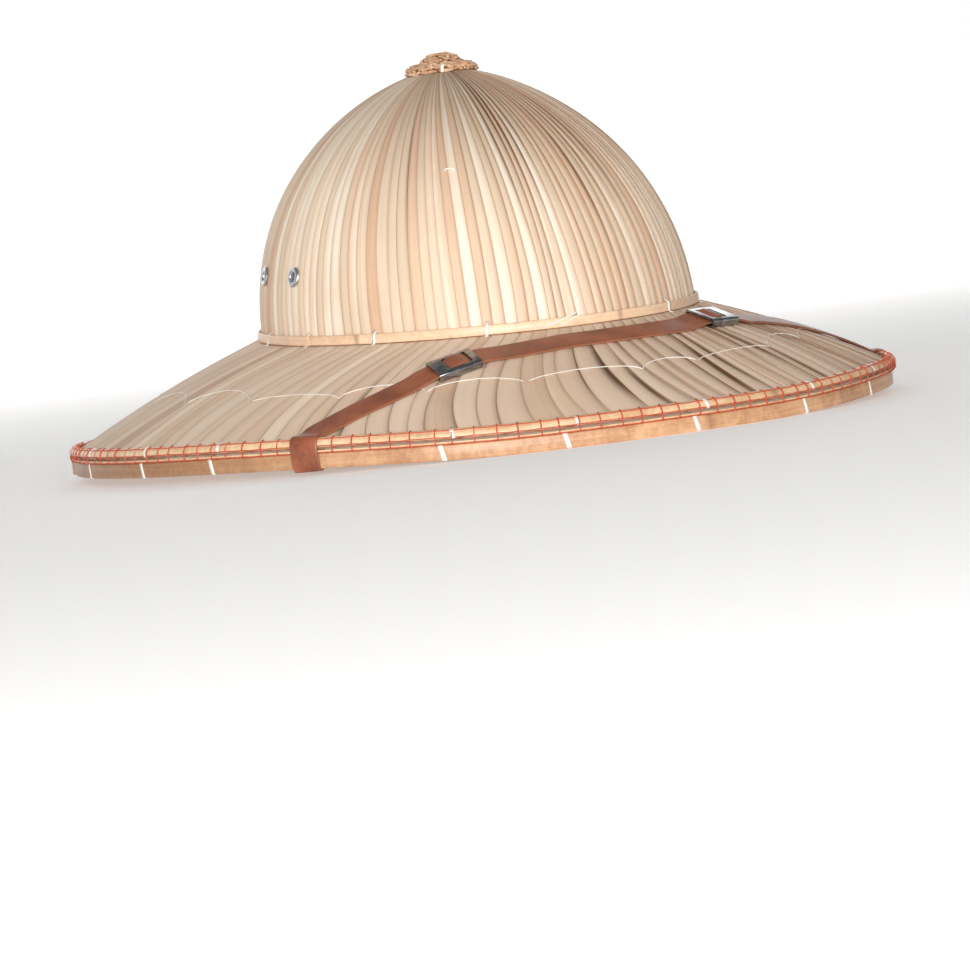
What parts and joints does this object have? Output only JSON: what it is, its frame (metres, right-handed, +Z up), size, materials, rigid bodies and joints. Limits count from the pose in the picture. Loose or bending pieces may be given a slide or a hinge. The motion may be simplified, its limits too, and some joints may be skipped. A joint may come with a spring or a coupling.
{
  "type": "pith helmet",
  "caption": "Pith helmet of ribbed palm-leaf strips on split cane, with a bamboo rim hoop, a straw button, metal vent eyelets and a brown leather chin strap worn over the brim.",
  "frame": {"origin": "centre of the rim, on the surface that the front and back of the rim hoop rest on", "axes": "+Z up through the crown, -Y towards the front of the hat, +X towards the wearer's left"},
  "size_m": [0.354, 0.382, 0.1674],
  "materials": {
    "crown_leaf": "dry palm leaf, satin",
    "brim_leaf": "dry palm leaf, satin",
    "split_cane": "bare split cane, satin",
    "bamboo": "bare bamboo strip, satin",
    "straw": "woven straw",
    "brown_leather": "smooth brown leather",
    "nickel": "dull nickel plate"
  },
  "bodies": {
    "root": {"crown": "crown_leaf", "brim": "brim_leaf", "crown_band": "split_cane", "brim_ring": "split_cane", "rim_hoop": "bamboo", "lower_edge_cane": "split_cane", "upper_edge_cane": "split_cane", "button_ring": "straw", "button_boss": "straw", "eyelet_right_front": "nickel", "eyelet_right_rear": "nickel", "eyelet_left_front": "nickel", "eyelet_left_rear": "nickel", "chin_strap": "brown_leather", "strap_slider_right": "nickel", "strap_slider_left": "nickel", "strap_rivet_right": "nickel", "strap_rivet_left": "nickel"}
  },
  "joints": []
}
